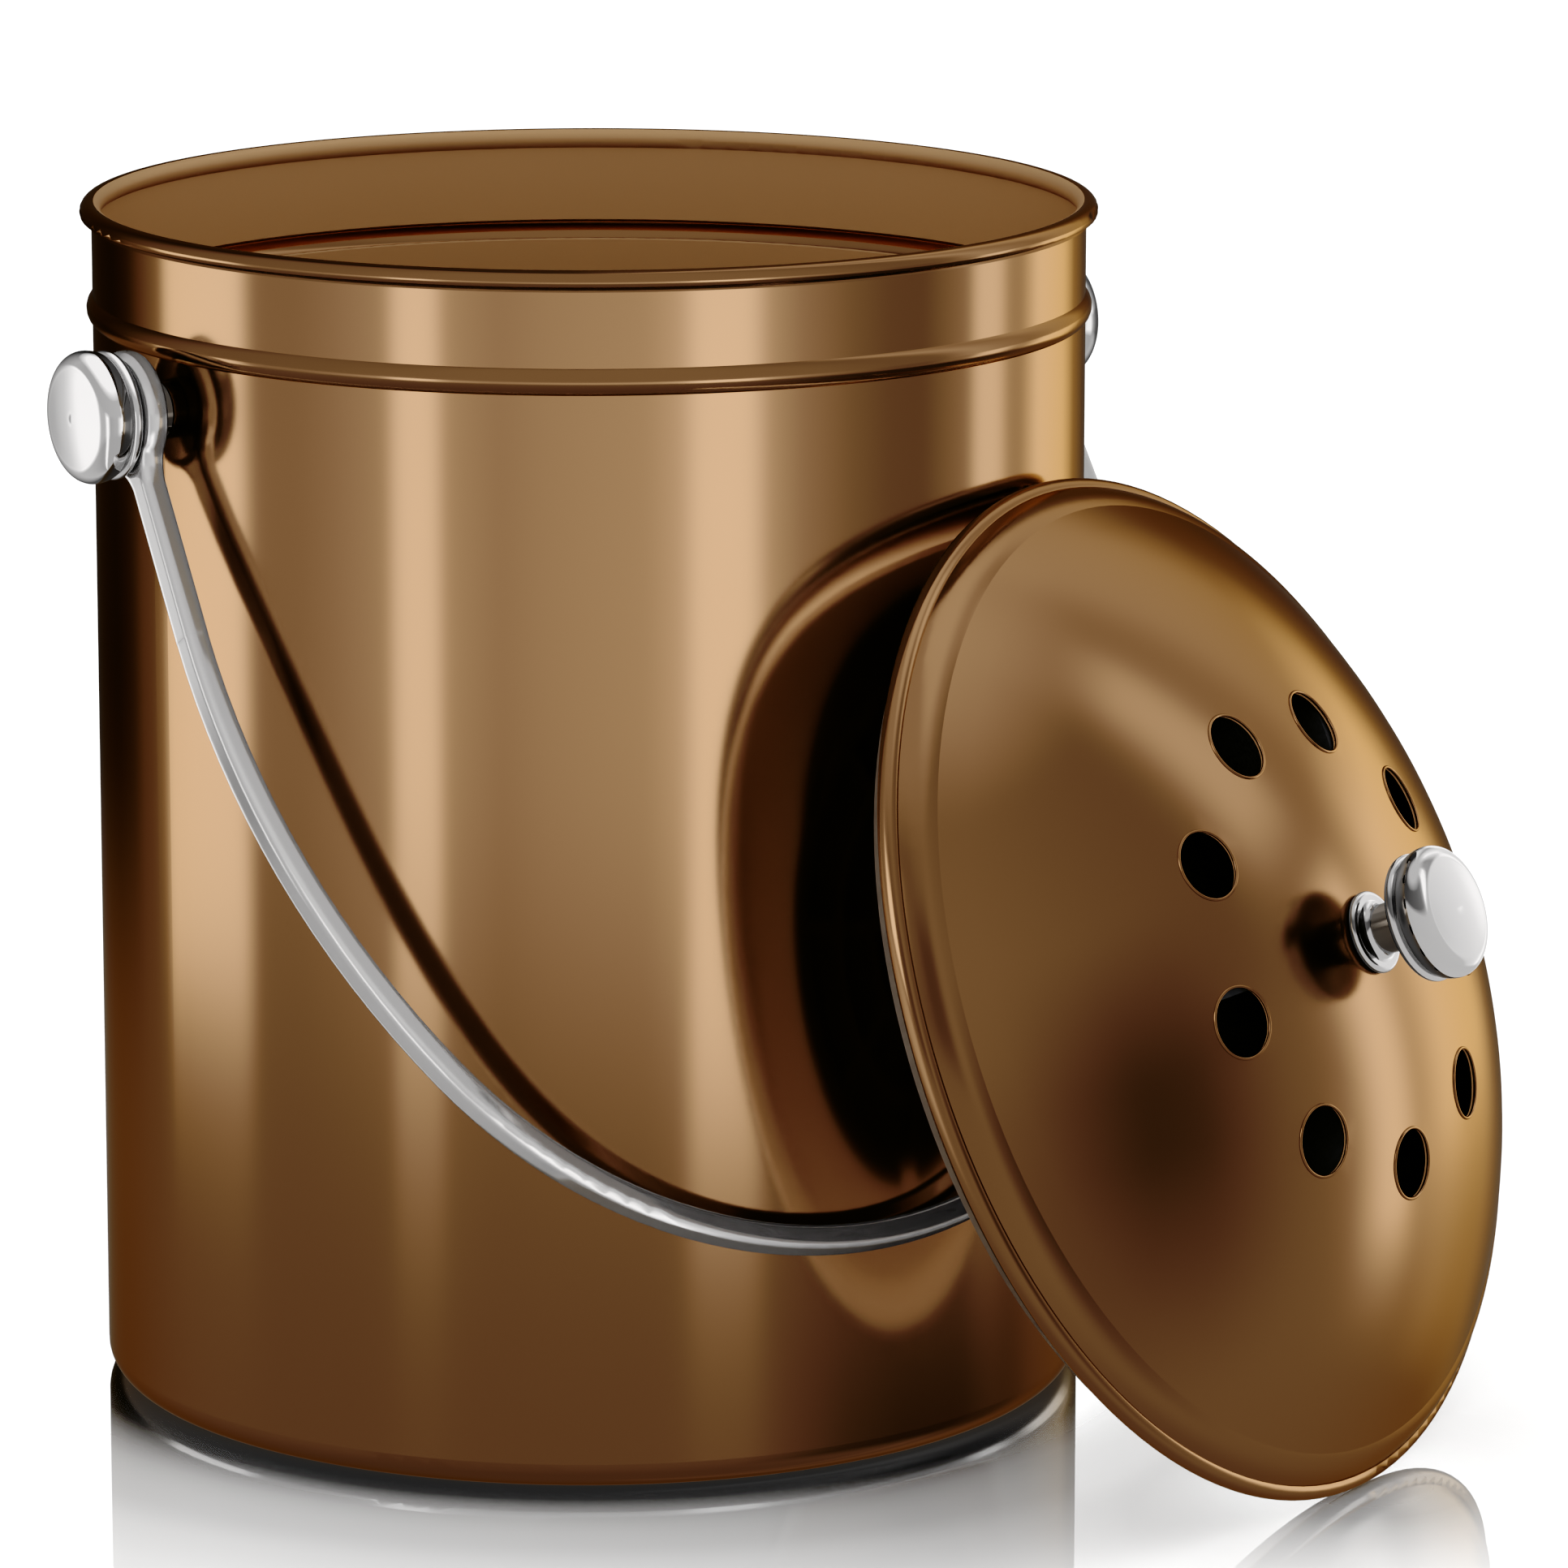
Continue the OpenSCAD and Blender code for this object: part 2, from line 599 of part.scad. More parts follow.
// A spoked cup that fits under the dome. Slots in its wall take the grille's lugs.
module filter_carrier() {
    slot_z = grille_h + (grille_t - lug_t) / 2 - move_gap;
    slot_h = lug_t + 2 * move_gap;
    side_gap = 1;
    color(plastic_black) lean_lid() difference() {
        intersection() {
            union() {
                rotate([0, 0, seam_turn]) difference() {
                    translate([0, 0, carrier_foot_h]) cylinder(r = carrier_r, h = dome_top, $fn = 180);
                    cylinder(r = carrier_in_r, h = dome_top + 10, $fn = 180);
                }
                for (i = [0 : carrier_spokes - 1]) rotate([0, 0, i * 360 / carrier_spokes])
                    translate([0, -1.5, spoke_foot]) cube([carrier_r - 1, 3, dome_top]);
                translate([0, 0, spoke_foot + 0.8]) cylinder(r = boss_r, h = dome_top);
            }
            rotate([0, 0, seam_turn]) translate([0, 0, dome_z]) sphere(r = dome_in_r - move_gap, $fn = 180);
        }
        for (i = [0 : lug_count - 1]) rotate([0, 0, i * 360 / lug_count]) {
            translate([0, 0, slot_z])
                ring_sector(carrier_in_r - 1, carrier_r + 1, -lug_sweep / 2 - side_gap,
                            lug_sweep + lock_turn + 4 * side_gap, slot_h);
            translate([0, 0, carrier_foot_h - 1])
                ring_sector(carrier_in_r - 1, carrier_r + 1, lock_turn - lug_sweep / 2 - side_gap,
                            lug_sweep + 2 * side_gap, slot_z - carrier_foot_h + 1 + slot_h / 2);
        }
        translate([0, 0, -1]) cylinder(r = screw_r + seat_gap, h = far, $fn = 32);
        cylinder(r = screw_head_r + 2, h = spoke_foot + 0.8);
    }
}

module charcoal_filter(foot) {
    color(charcoal) lean_lid() translate([0, 0, foot]) difference() {
        cylinder(r = filter_r, h = filter_t, $fn = 180);
        translate([0, 0, -1]) cylinder(r = screw_head_r + 3, h = filter_t + 2);
    }
}

module charcoal_filter_upper() { charcoal_filter(upper_foot); }
module charcoal_filter_lower() { charcoal_filter(filter_foot_h); }

// Keeps the two filters apart, so that air passes between them.
module filter_spacer() {
    color(plastic_black) lean_lid() translate([0, 0, lower_top + seat_gap]) {
        difference() {
            cylinder(r = filter_r, h = spacer_h, $fn = 180);
            translate([0, 0, -1]) cylinder(r = filter_r - 4, h = spacer_h + 2, $fn = 180);
        }
    }
}

// Rings and spokes, lugs on the outer ring, and two ribs under the spokes to turn it by.
module filter_grille() {
    ring_gap = (grille_r - grille_bar_w - 10) / 3;
    grip_len = 26;
    grip_t = 2;
    grip_h = 2.6;
    color(plastic_black) lean_lid() translate([0, 0, grille_h]) {
        for (i = [0 : 3]) {
            outer = grille_r - i * ring_gap;
            rotate([0, 0, seam_turn]) difference() {
                cylinder(r = outer, h = grille_t, $fn = 180);
                translate([0, 0, -1]) cylinder(r = outer - grille_bar_w, h = grille_t + 2, $fn = 180);
            }
        }
        difference() {
            for (i = [0 : grille_spokes - 1]) rotate([0, 0, i * 360 / grille_spokes])
                translate([8, -grille_bar_w / 2, 0]) cube([grille_r - 9, grille_bar_w, grille_t]);
            translate([0, 0, -1]) cylinder(r = 9, h = grille_t + 2);
        }
        for (i = [0 : lug_count - 1]) rotate([0, 0, i * 360 / lug_count])
            translate([0, 0, (grille_t - lug_t) / 2])
                ring_sector(grille_r - 1, lug_reach, -lug_sweep / 2, lug_sweep, lug_t);
        for (turn = [90, 270]) rotate([0, 0, turn])
            translate([grille_r - grip_len - 2 * grille_bar_w, -grip_t / 2, -grip_h]) cube([grip_len, grip_t, grip_h + 1]);
    }
}

pail_shell();
pivot_post(-1);  // pivot_post_left
pivot_post(1);  // pivot_post_right
handle_knob(-1);  // handle_knob_left
handle_knob(1);  // handle_knob_right
pivot_washer(-1);  // pivot_washer_left
pivot_washer(1);  // pivot_washer_right
pivot_screw(-1);  // pivot_screw_left
pivot_screw(1);  // pivot_screw_right
screw_seal(-1);  // screw_seal_left
screw_seal(1);  // screw_seal_right
bail_handle();
lid_shell();
lid_seal();
lid_knob_stem();
lid_knob();
lid_screw();
lid_washer();
filter_carrier();
charcoal_filter_upper();
charcoal_filter_lower();
filter_spacer();
filter_grille();
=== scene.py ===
import json
import math

import bmesh
import bpy
from mathutils import Matrix, Vector


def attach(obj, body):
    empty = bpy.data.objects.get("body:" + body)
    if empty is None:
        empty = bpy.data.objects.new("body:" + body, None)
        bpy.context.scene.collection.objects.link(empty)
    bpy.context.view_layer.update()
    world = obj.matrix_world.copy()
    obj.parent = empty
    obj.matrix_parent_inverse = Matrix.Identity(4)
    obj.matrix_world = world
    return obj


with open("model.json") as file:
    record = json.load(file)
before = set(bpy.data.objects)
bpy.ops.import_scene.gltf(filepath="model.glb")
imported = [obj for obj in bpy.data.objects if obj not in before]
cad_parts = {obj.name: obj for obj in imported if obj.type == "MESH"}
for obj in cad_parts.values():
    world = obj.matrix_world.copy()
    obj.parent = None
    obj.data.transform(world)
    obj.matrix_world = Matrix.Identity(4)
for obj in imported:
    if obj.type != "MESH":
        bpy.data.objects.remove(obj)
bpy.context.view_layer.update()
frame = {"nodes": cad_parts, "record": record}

NODES = frame["nodes"]

RECORD = frame["record"]
BODIES = RECORD["behaviour"]["bodies"]
JOINTS = {joint["name"]: joint for joint in RECORD["behaviour"]["joints"]}

# The lid's own frame, in metres: its edge is at z = 0 and its dome points to +Z. The grille turns
# about the lid's axis, at the height of the edge.
LID_MIDDLE, LID_AXIS = Vector(JOINTS["grille_twist"]["pos_m"]), Vector(JOINTS["grille_twist"]["axis"])
LEAN, LEAN_SIDE = math.asin(LID_AXIS.z), math.atan2(LID_AXIS.y, LID_AXIS.x)
LID_FRAME = (Matrix.Translation(LID_MIDDLE) @ Matrix.Rotation(LEAN_SIDE, 4, "Z")
             @ Matrix.Rotation(math.pi / 2 - LEAN, 4, "Y") @ Matrix.Rotation(math.pi / 2, 4, "Z"))
DOME_R, DOME_Z = 0.138, -0.09982

# The vent holes and the rolled lip round each of them.
VENT_COUNT, VENT_TURN = 9, math.radians(28.9)
VENT_R, VENT_RING_R = 0.0062, 0.0403
VENT_LIP_R = 0.00028
LIP_SIDES, LIP_STEPS = 12, 64

# The pail's wall, and where the insides begin: this far within the outer skin, and above these
# heights, over the floor for the pail and over the edge for the lid.
PAIL_R = 0.0895
SKIN = 0.0004
BASE_EDGE_UP, LID_INNER_UP = 0.006, 0.0045

# The camera: its place, its aim in degrees (down, to the side and rolled) and its lens in millimetres.
CAMERA_AT = Vector((-0.79404, -1.25123, 0.4284))
CAMERA_PITCH, CAMERA_TURN, CAMERA_ROLL = 12.22, -33.76, 0.08
CAMERA_LENS, SENSOR = 190.36, 36.0
CAMERA_SIDE = math.atan2(CAMERA_AT.y, CAMERA_AT.x)

# The set, all of it about the pail's base: floor, backdrop and the lights' spheres, with the gap
# between one sphere and the next.
FLOOR_R, FLOOR_LIGHT_R, BACKDROP_R = 4.0, 5.0, 6.0
SET_R, SPHERE_GAP = 1.4, 0.001
FLOOR_SIDES, LIGHT_RINGS, BACKDROP_RINGS = 96, 64, 32
# The strength of the white floor's and backdrop's glow, and of the soft light from all round.
WHITE_GLOW, ROOM_GLOW = 1.1, 1.5
# Where the lid's edge stands on the floor.
LID_FOOT = (0.0666, -0.1461, 0)


# ---------- small helpers for node trees ----------

def new_material(name):
    """An empty node tree, as its material, its nodes and its links."""
    mat = bpy.data.materials.new(name)
    mat.use_nodes = True
    mat.node_tree.nodes.clear()
    return mat, mat.node_tree.nodes, mat.node_tree.links


def ramp(nodes, stops):
    """A colour ramp with these stops, each a place and a grey or a colour."""
    node = nodes.new("ShaderNodeValToRGB")
    for i, (at, colour) in enumerate(stops):
        colour = (colour,) * 3 if isinstance(colour, (int, float)) else colour
        stop = node.color_ramp.elements[i] if i < 2 else node.color_ramp.elements.new(at)
        stop.position, stop.color = at, (*colour, 1)
    return node


def fill(links, sockets, values):
    """Gives each socket its number or colour, or links it to another node's output."""
    for socket, value in zip(sockets, values):
        if isinstance(value, tuple):
            socket.default_value = (*value, 1)
        elif isinstance(value, (int, float)):
            socket.default_value = value
        else:
            links.new(value, socket)


def math_node(nodes, links, kind, *values):
    """The result of one sum on numbers or outputs."""
    node = nodes.new("ShaderNodeMath")
    node.operation = kind
    fill(links, node.inputs, values)
    return node.outputs[0]


def blend_node(nodes, links, share, low, high):
    """low where share is 0, high where it is 1."""
    node = nodes.new("ShaderNodeMix")
    fill(links, (node.inputs[0], node.inputs[2], node.inputs[3]), (share, low, high))
    return node.outputs[0]


def colour_mix(nodes, links, share, low, high):
    """The colour low where share is 0, the colour high where it is 1."""
    mix = nodes.new("ShaderNodeMix")
    mix.data_type = "RGBA"
    fill(links, (mix.inputs[0], mix.inputs[6], mix.inputs[7]), (share, low, high))
    return mix.outputs[2]


# ---------- finishes ----------

# The bronze: its two tones, its tint at a grazing angle, its painted reflection grey in other metal's
# mirror, its inner lacquer's colour, darkened as painted shade, and the pale painted reflection tone
# that the lid's inner lacquer takes in the pail's mirror.
BRONZE_DEEP, BRONZE_PALE = (0.690, 0.423, 0.250), (0.710, 0.437, 0.262)
EDGE_TINT = (0.80, 0.62, 0.42)
BRONZE_PAINTED_MIRROR_GREY = 0.40
INNER_COAT_AND_SHADE, INNER_ROUGH = (0.42, 0.27, 0.16), 0.42
LID_INNER_PAINTED_MIRROR_TONE = (0.60, 0.58, 0.56)
# The chrome's two tones, and how far the haze roughens both metals' gloss.
CHROME_DEEP, CHROME_PALE = (0.90, 0.885, 0.880), (0.93, 0.915, 0.91)
HAZE = 0.02
# How far the bar's flats are rounded into each other, in metres, and how finely.
BAR_EDGE_R, BEVEL_SAMPLES = 0.0011, 12
# How far a dull grain roughens the gloss, and how deep it is in metres.
GRAIN_GLOSS, GRAIN_DEPTH = 0.12, 0.0003


def inside_share(nodes, links, middle, squash, inner_r, up, above):
    """1 on the surfaces nearer to the middle than inner_r and higher than above, 0 elsewhere."""
    place, shift = nodes.new("ShaderNodeTexCoord"), nodes.new("ShaderNodeVectorMath")
    flat, reach = nodes.new("ShaderNodeVectorMath"), nodes.new("ShaderNodeVectorMath")
    height = nodes.new("ShaderNodeVectorMath")
    shift.operation, shift.inputs[1].default_value = "SUBTRACT", middle
    flat.operation, flat.inputs[1].default_value = "MULTIPLY", squash
    height.operation, height.inputs[1].default_value = "DOT_PRODUCT", up
    reach.operation = "LENGTH"
    links.new(place.outputs["Object"], shift.inputs[0])
    links.new(place.outputs["Object"], height.inputs[0])
    links.new(shift.outputs[0], flat.inputs[0])
    links.new(flat.outputs[0], reach.inputs[0])
    near = math_node(nodes, links, "LESS_THAN", reach.outputs["Value"], inner_r)
    high = math_node(nodes, links, "GREATER_THAN", height.outputs["Value"], above)
    return math_node(nodes, links, "MULTIPLY", near, high)


def painted_mirror_tone(nodes, links, tone, outside, within=None, inside=0.0):
    """Painted reflection: the metal's own tone, but dark and neutral where other metal mirrors it, standing
    in for dark surroundings.

    Insides have a painted mirrored colour of their own, within.
    """
    path = nodes.new("ShaderNodeLightPath")
    painted_greys = (outside,) * 3
    if within:
        painted_greys = colour_mix(nodes, links, inside, painted_greys, within)
    return colour_mix(nodes, links, path.outputs["Is Glossy Ray"], tone, painted_greys)


def bronze_coat(name, rough, within, inside_metal, *inside_where):
    """Lacquered bronze on steel, with a fine haze in its gloss. Inside, the lacquer is thin and matt, and
    darker as painted shade.
    """
    mat, nodes, links = new_material(name)
    out, shader = nodes.new("ShaderNodeOutputMaterial"), nodes.new("ShaderNodeBsdfPrincipled")
    place, haze = nodes.new("ShaderNodeTexCoord"), nodes.new("ShaderNodeTexNoise")
    haze.inputs["Scale"].default_value = 9.0
    haze.inputs["Detail"].default_value = 3.0
    links.new(place.outputs["Object"], haze.inputs["Vector"])
    inside = inside_share(nodes, links, *inside_where)
    shader.inputs["Specular Tint"].default_value = (*EDGE_TINT, 1)
    tone = ramp(nodes, [(0.3, BRONZE_DEEP), (0.7, BRONZE_PALE)])
    links.new(haze.outputs["Fac"], tone.inputs["Fac"])
    # Inside, the bronze turns to the darker inner colour: painted shade, on a real matt lacquer.
    coat_and_shade = colour_mix(nodes, links, inside, tone.outputs["Color"], INNER_COAT_AND_SHADE)
    links.new(painted_mirror_tone(nodes, links, coat_and_shade, BRONZE_PAINTED_MIRROR_GREY, within, inside), shader.inputs["Base Color"])
    links.new(blend_node(nodes, links, inside, 1.0, inside_metal), shader.inputs["Metallic"])
    gloss = ramp(nodes, [(0.3, rough), (0.7, rough + HAZE)])
    links.new(haze.outputs["Fac"], gloss.inputs["Fac"])
    matt = blend_node(nodes, links, inside, gloss.outputs["Color"], INNER_ROUGH)
    links.new(matt, shader.inputs["Roughness"])
    links.new(shader.outputs[0], out.inputs["Surface"])
    return mat


def plated(name, metal, dark, rough, edge_r=0.0):
    """Nickel-bright plating with a faint haze. edge_r rounds the bar's flats into each other. dark is a
    painted reflection grey that the plating takes where other metal mirrors it.
    """
    mat, nodes, links = new_material(name)
    out, shader = nodes.new("ShaderNodeOutputMaterial"), nodes.new("ShaderNodeBsdfPrincipled")
    place, haze = nodes.new("ShaderNodeTexCoord"), nodes.new("ShaderNodeTexNoise")
    haze.inputs["Scale"].default_value = 60.0
    links.new(place.outputs["Object"], haze.inputs["Vector"])
    shader.inputs["Metallic"].default_value = metal
    tone = ramp(nodes, [(0.3, CHROME_DEEP), (0.7, CHROME_PALE)])
    links.new(haze.outputs["Fac"], tone.inputs["Fac"])
    links.new(painted_mirror_tone(nodes, links, tone.outputs["Color"], dark), shader.inputs["Base Color"])
    gloss = ramp(nodes, [(0.3, rough), (0.7, rough + HAZE)])
    links.new(haze.outputs["Fac"], gloss.inputs["Fac"])
    links.new(gloss.outputs["Color"], shader.inputs["Roughness"])
    if edge_r:
        rounding = nodes.new("ShaderNodeBevel")
        rounding.samples = BEVEL_SAMPLES
        rounding.inputs["Radius"].default_value = edge_r
        links.new(rounding.outputs["Normal"], shader.inputs["Normal"])
    links.new(shader.outputs[0], out.inputs["Surface"])
    return mat


def dull_finish(name, light, dark, rough, scale, bump, metallic=0.0, painted_mirror_grey=None):
    """A moulded, felted or brushed surface: a grain that varies its tone, its gloss and its relief, and a
    painted reflection grey where metal mirrors it, if one is given.
    """
    mat, nodes, links = new_material(name)
    out, shader = nodes.new("ShaderNodeOutputMaterial"), nodes.new("ShaderNodeBsdfPrincipled")
    place = nodes.new("ShaderNodeTexCoord")
    shader.inputs["Metallic"].default_value = metallic
    grain = nodes.new("ShaderNodeTexNoise")
    grain.inputs["Scale"].default_value = scale
    grain.inputs["Detail"].default_value = 6.0
    links.new(place.outputs["Object"], grain.inputs["Vector"])
    tone = ramp(nodes, [(0.35, dark), (0.65, light)])
    links.new(grain.outputs["Fac"], tone.inputs["Fac"])
    colour = tone.outputs["Color"]
    if painted_mirror_grey:
        colour = painted_mirror_tone(nodes, links, colour, painted_mirror_grey)
    links.new(colour, shader.inputs["Base Color"])
    gloss = ramp(nodes, [(0.3, rough), (0.7, min(rough + GRAIN_GLOSS, 1.0))])
    links.new(grain.outputs["Fac"], gloss.inputs["Fac"])
    links.new(gloss.outputs["Color"], shader.inputs["Roughness"])
    relief = nodes.new("ShaderNodeBump")
    relief.inputs["Strength"].default_value = bump
    relief.inputs["Distance"].default_value = GRAIN_DEPTH
    links.new(grain.outputs["Fac"], relief.inputs["Height"])
    links.new(relief.outputs["Normal"], shader.inputs["Normal"])
    links.new(shader.outputs[0], out.inputs["Surface"])
    return mat


FINISH = {
    # The pail's bronze: darker inside as painted shade, and a painted reflection grey in other metal's
    # mirror.
    "bronze": bronze_coat("pail_bronze", 0.12, INNER_COAT_AND_SHADE, 0.45,
                          (0, 0, 0), (1, 1, 0), PAIL_R - SKIN, (0, 0, 1), BASE_EDGE_UP),
    # The chrome turns a dark painted reflection grey where other metal mirrors it.
    "chrome": plated("bright_chrome", metal=1.0, dark=0.30, rough=0.05),
    "stainless": dull_finish("satin_steel", (0.62, 0.61, 0.60), (0.55, 0.54, 0.53),
                             rough=0.28, scale=90, bump=0.05, metallic=1.0),
    "rubber": dull_finish("black_rubber", (0.030, 0.030, 0.030), (0.018, 0.018, 0.018),
                          rough=0.62, scale=700, bump=0.35),
    # The silicone takes a pale painted reflection grey where metal mirrors it.
    "silicone": dull_finish("brown_silicone", (0.105, 0.080, 0.060), (0.085, 0.065, 0.050),
                            rough=0.42, scale=300, bump=0.12, painted_mirror_grey=0.9),
    "carrier_plastic": dull_finish("black_moulding", (0.040, 0.040, 0.041), (0.028, 0.028, 0.029),
                                   rough=0.45, scale=900, bump=0.30),
    "charcoal": dull_finish("charcoal_felt", (0.050, 0.050, 0.052), (0.010, 0.010, 0.011),
                            rough=0.92, scale=1400, bump=1.0),
}

SLOT_OF = {part["node"]: part["material_slot"] for part in RECORD["subparts"]}
for name, node in NODES.items():
    node.data.materials.clear()
    node.data.materials.append(FINISH[SLOT_OF[name]])

# The lid's bronze and the bar's plating are finishes of their own.
# Inside, the lid is darker as painted shade, and takes a pale painted reflection tone where the pail mirrors
# it.
LID_BRONZE = bronze_coat("lid_bronze", 0.155, LID_INNER_PAINTED_MIRROR_TONE, 0.1,
                         LID_FRAME @ Vector((0, 0, DOME_Z)), (1, 1, 1), DOME_R - SKIN,
                         LID_AXIS, LID_AXIS.dot(LID_MIDDLE) + LID_INNER_UP)
NODES["lid_shell"].data.materials[0] = LID_BRONZE
# The bar's plating turns a lighter painted reflection grey where other metal mirrors it.
NODES["bail_handle"].data.materials[0] = plated("satin_plating", metal=0.90, dark=0.55, rough=0.06,
                                                      edge_r=BAR_EDGE_R)


# ---------- pieces made here ----------

def vent_lips():
    """The rolled lips of the vent holes, each a fine ring on the edge that the hole cuts in the dome."""
    bm = bmesh.new()
    tilt = math.asin(VENT_RING_R / DOME_R)
    edge_z = math.sqrt(DOME_R ** 2 - VENT_R ** 2)
    for i in range(VENT_COUNT):
        place = (Matrix.Rotation(VENT_TURN + i * math.tau / VENT_COUNT, 4, "Z")
                 @ Matrix.Translation((0, 0, DOME_Z)) @ Matrix.Rotation(tilt, 4, "Y"))
        ring = bmesh.ops.create_circle(bm, segments=LIP_SIDES, radius=VENT_LIP_R)["verts"]
        stand = Matrix.Translation((VENT_R, 0, edge_z)) @ Matrix.Rotation(math.pi / 2, 4, "X")
        bmesh.ops.transform(bm, matrix=place @ stand, verts=ring)
        edges = list({edge for vert in ring for edge in vert.link_edges})
        bmesh.ops.spin(bm, geom=ring + edges, cent=place.translation, axis=place.to_3x3() @ Vector((0, 0, 1)),
                       angle=math.tau, steps=LIP_STEPS, use_merge=True)
    bmesh.ops.recalc_face_normals(bm, faces=bm.faces)
    bmesh.ops.transform(bm, matrix=LID_FRAME, verts=bm.verts)
    for face in bm.faces:
        face.smooth = True
    mesh = bpy.data.meshes.new("vent_lips")
    bm.to_mesh(mesh)
    bm.free()
    mesh.materials.append(LID_BRONZE)
    lips = bpy.data.objects.new("vent_lips", mesh)
    bpy.context.scene.collection.objects.link(lips)
    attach(lips, "lid")
    return lips


LIPS = vent_lips()


# ---------- the set: camera, floor, backdrop and lights ----------

def make_camera():
    """A long lens that looks slightly down on the pail's front left."""
    data = bpy.data.cameras.new("camera")
    data.lens, data.sensor_width = CAMERA_LENS, SENSOR
    data.clip_start, data.clip_end = 0.05, 30.0
    cam = bpy.data.objects.new("camera", data)
    bpy.context.scene.collection.objects.link(cam)
    pitch, roll = math.radians(CAMERA_PITCH), math.radians(CAMERA_ROLL)
    spin = Matrix.Rotation(math.radians(CAMERA_TURN), 3, "Z")
    ahead = spin @ Vector((0, math.cos(pitch), -math.sin(pitch)))
    up = spin @ Vector((0, math.sin(pitch), math.cos(pitch)))
    right = spin @ Vector((1, 0, 0))
    right, up = math.cos(roll) * right + math.sin(roll) * up, math.cos(roll) * up - math.sin(roll) * right
    cam.matrix_world = Matrix.Translation(CAMERA_AT) @ Matrix((right, up, -ahead)).transposed().to_4x4()
    bpy.context.scene.camera = cam


def stage_piece(name, build, mat):
    """A piece of the set, whose mesh build makes. It isn't part of the object."""
    mesh = bpy.data.meshes.new(name)
    bm = bmesh.new()
    build(bm)
    bm.to_mesh(mesh)
    bm.free()
    mesh.materials.append(mat)
    piece = bpy.data.objects.new(name, mesh)
    bpy.context.scene.collection.objects.link(piece)
    return piece


# How much the floor mirrors, by the distance from the pail's axis and from the lid's foot: a painted
# reflection and painted contact shade, the floor turning to mirror, and so to the dark bases, close to them.
PAIL_PAINTED_MIRROR = [(PAIL_R, 1.0), (0.094, 0.98), (0.0995, 0.78), (0.105, 0.62), (0.111, 0.53), (0.122, 0.48),
               (0.131, 0.36), (0.15, 0.27), (0.25, 0.22)]
LID_PAINTED_MIRROR = [(0.0, 0.80), (0.02, 0.70), (0.03, 0.50), (0.04, 0.35), (0.055, 0.22)]


def floor_painted_mirror():
    """White lacquer with a painted reflection: its mirror share is set by distance, highest where the pail
    and lid stand, which gives a painted contact shade there.
    """
    mat, nodes, links = new_material("floor_painted_mirror")
    out, mix = nodes.new("ShaderNodeOutputMaterial"), nodes.new("ShaderNodeMixShader")
    white, mirror = nodes.new("ShaderNodeBsdfDiffuse"), nodes.new("ShaderNodeBsdfGlossy")
    white.inputs["Color"].default_value = (0.93, 0.93, 0.93, 1)
    mirror.inputs["Color"].default_value = (1, 1, 1, 1)
    mirror.inputs["Roughness"].default_value = 0.0
    place = nodes.new("ShaderNodeTexCoord")
    shares = []
    for foot, stops in (((0, 0, 0), PAIL_PAINTED_MIRROR), (LID_FOOT, LID_PAINTED_MIRROR)):
        reach, share = nodes.new("ShaderNodeVectorMath"), ramp(nodes, stops)
        reach.operation, reach.inputs[1].default_value = "DISTANCE", foot
        links.new(place.outputs["Object"], reach.inputs[0])
        links.new(reach.outputs["Value"], share.inputs["Fac"])
        shares.append(share.outputs["Color"])
    links.new(math_node(nodes, links, "MAXIMUM", *shares), mix.inputs["Fac"])
    links.new(white.outputs[0], mix.inputs[1])
    links.new(mirror.outputs[0], mix.inputs[2])
    links.new(mix.outputs[0], out.inputs["Surface"])
    return mat


def plain_glow(name, strength):
    """White light of one strength."""
    mat, nodes, links = new_material(name)
    out, glow = nodes.new("ShaderNodeOutputMaterial"), nodes.new("ShaderNodeEmission")
    glow.inputs["Color"].default_value = (1, 1, 1, 1)
    glow.inputs["Strength"].default_value = strength
    links.new(glow.outputs[0], out.inputs["Surface"])
    return mat


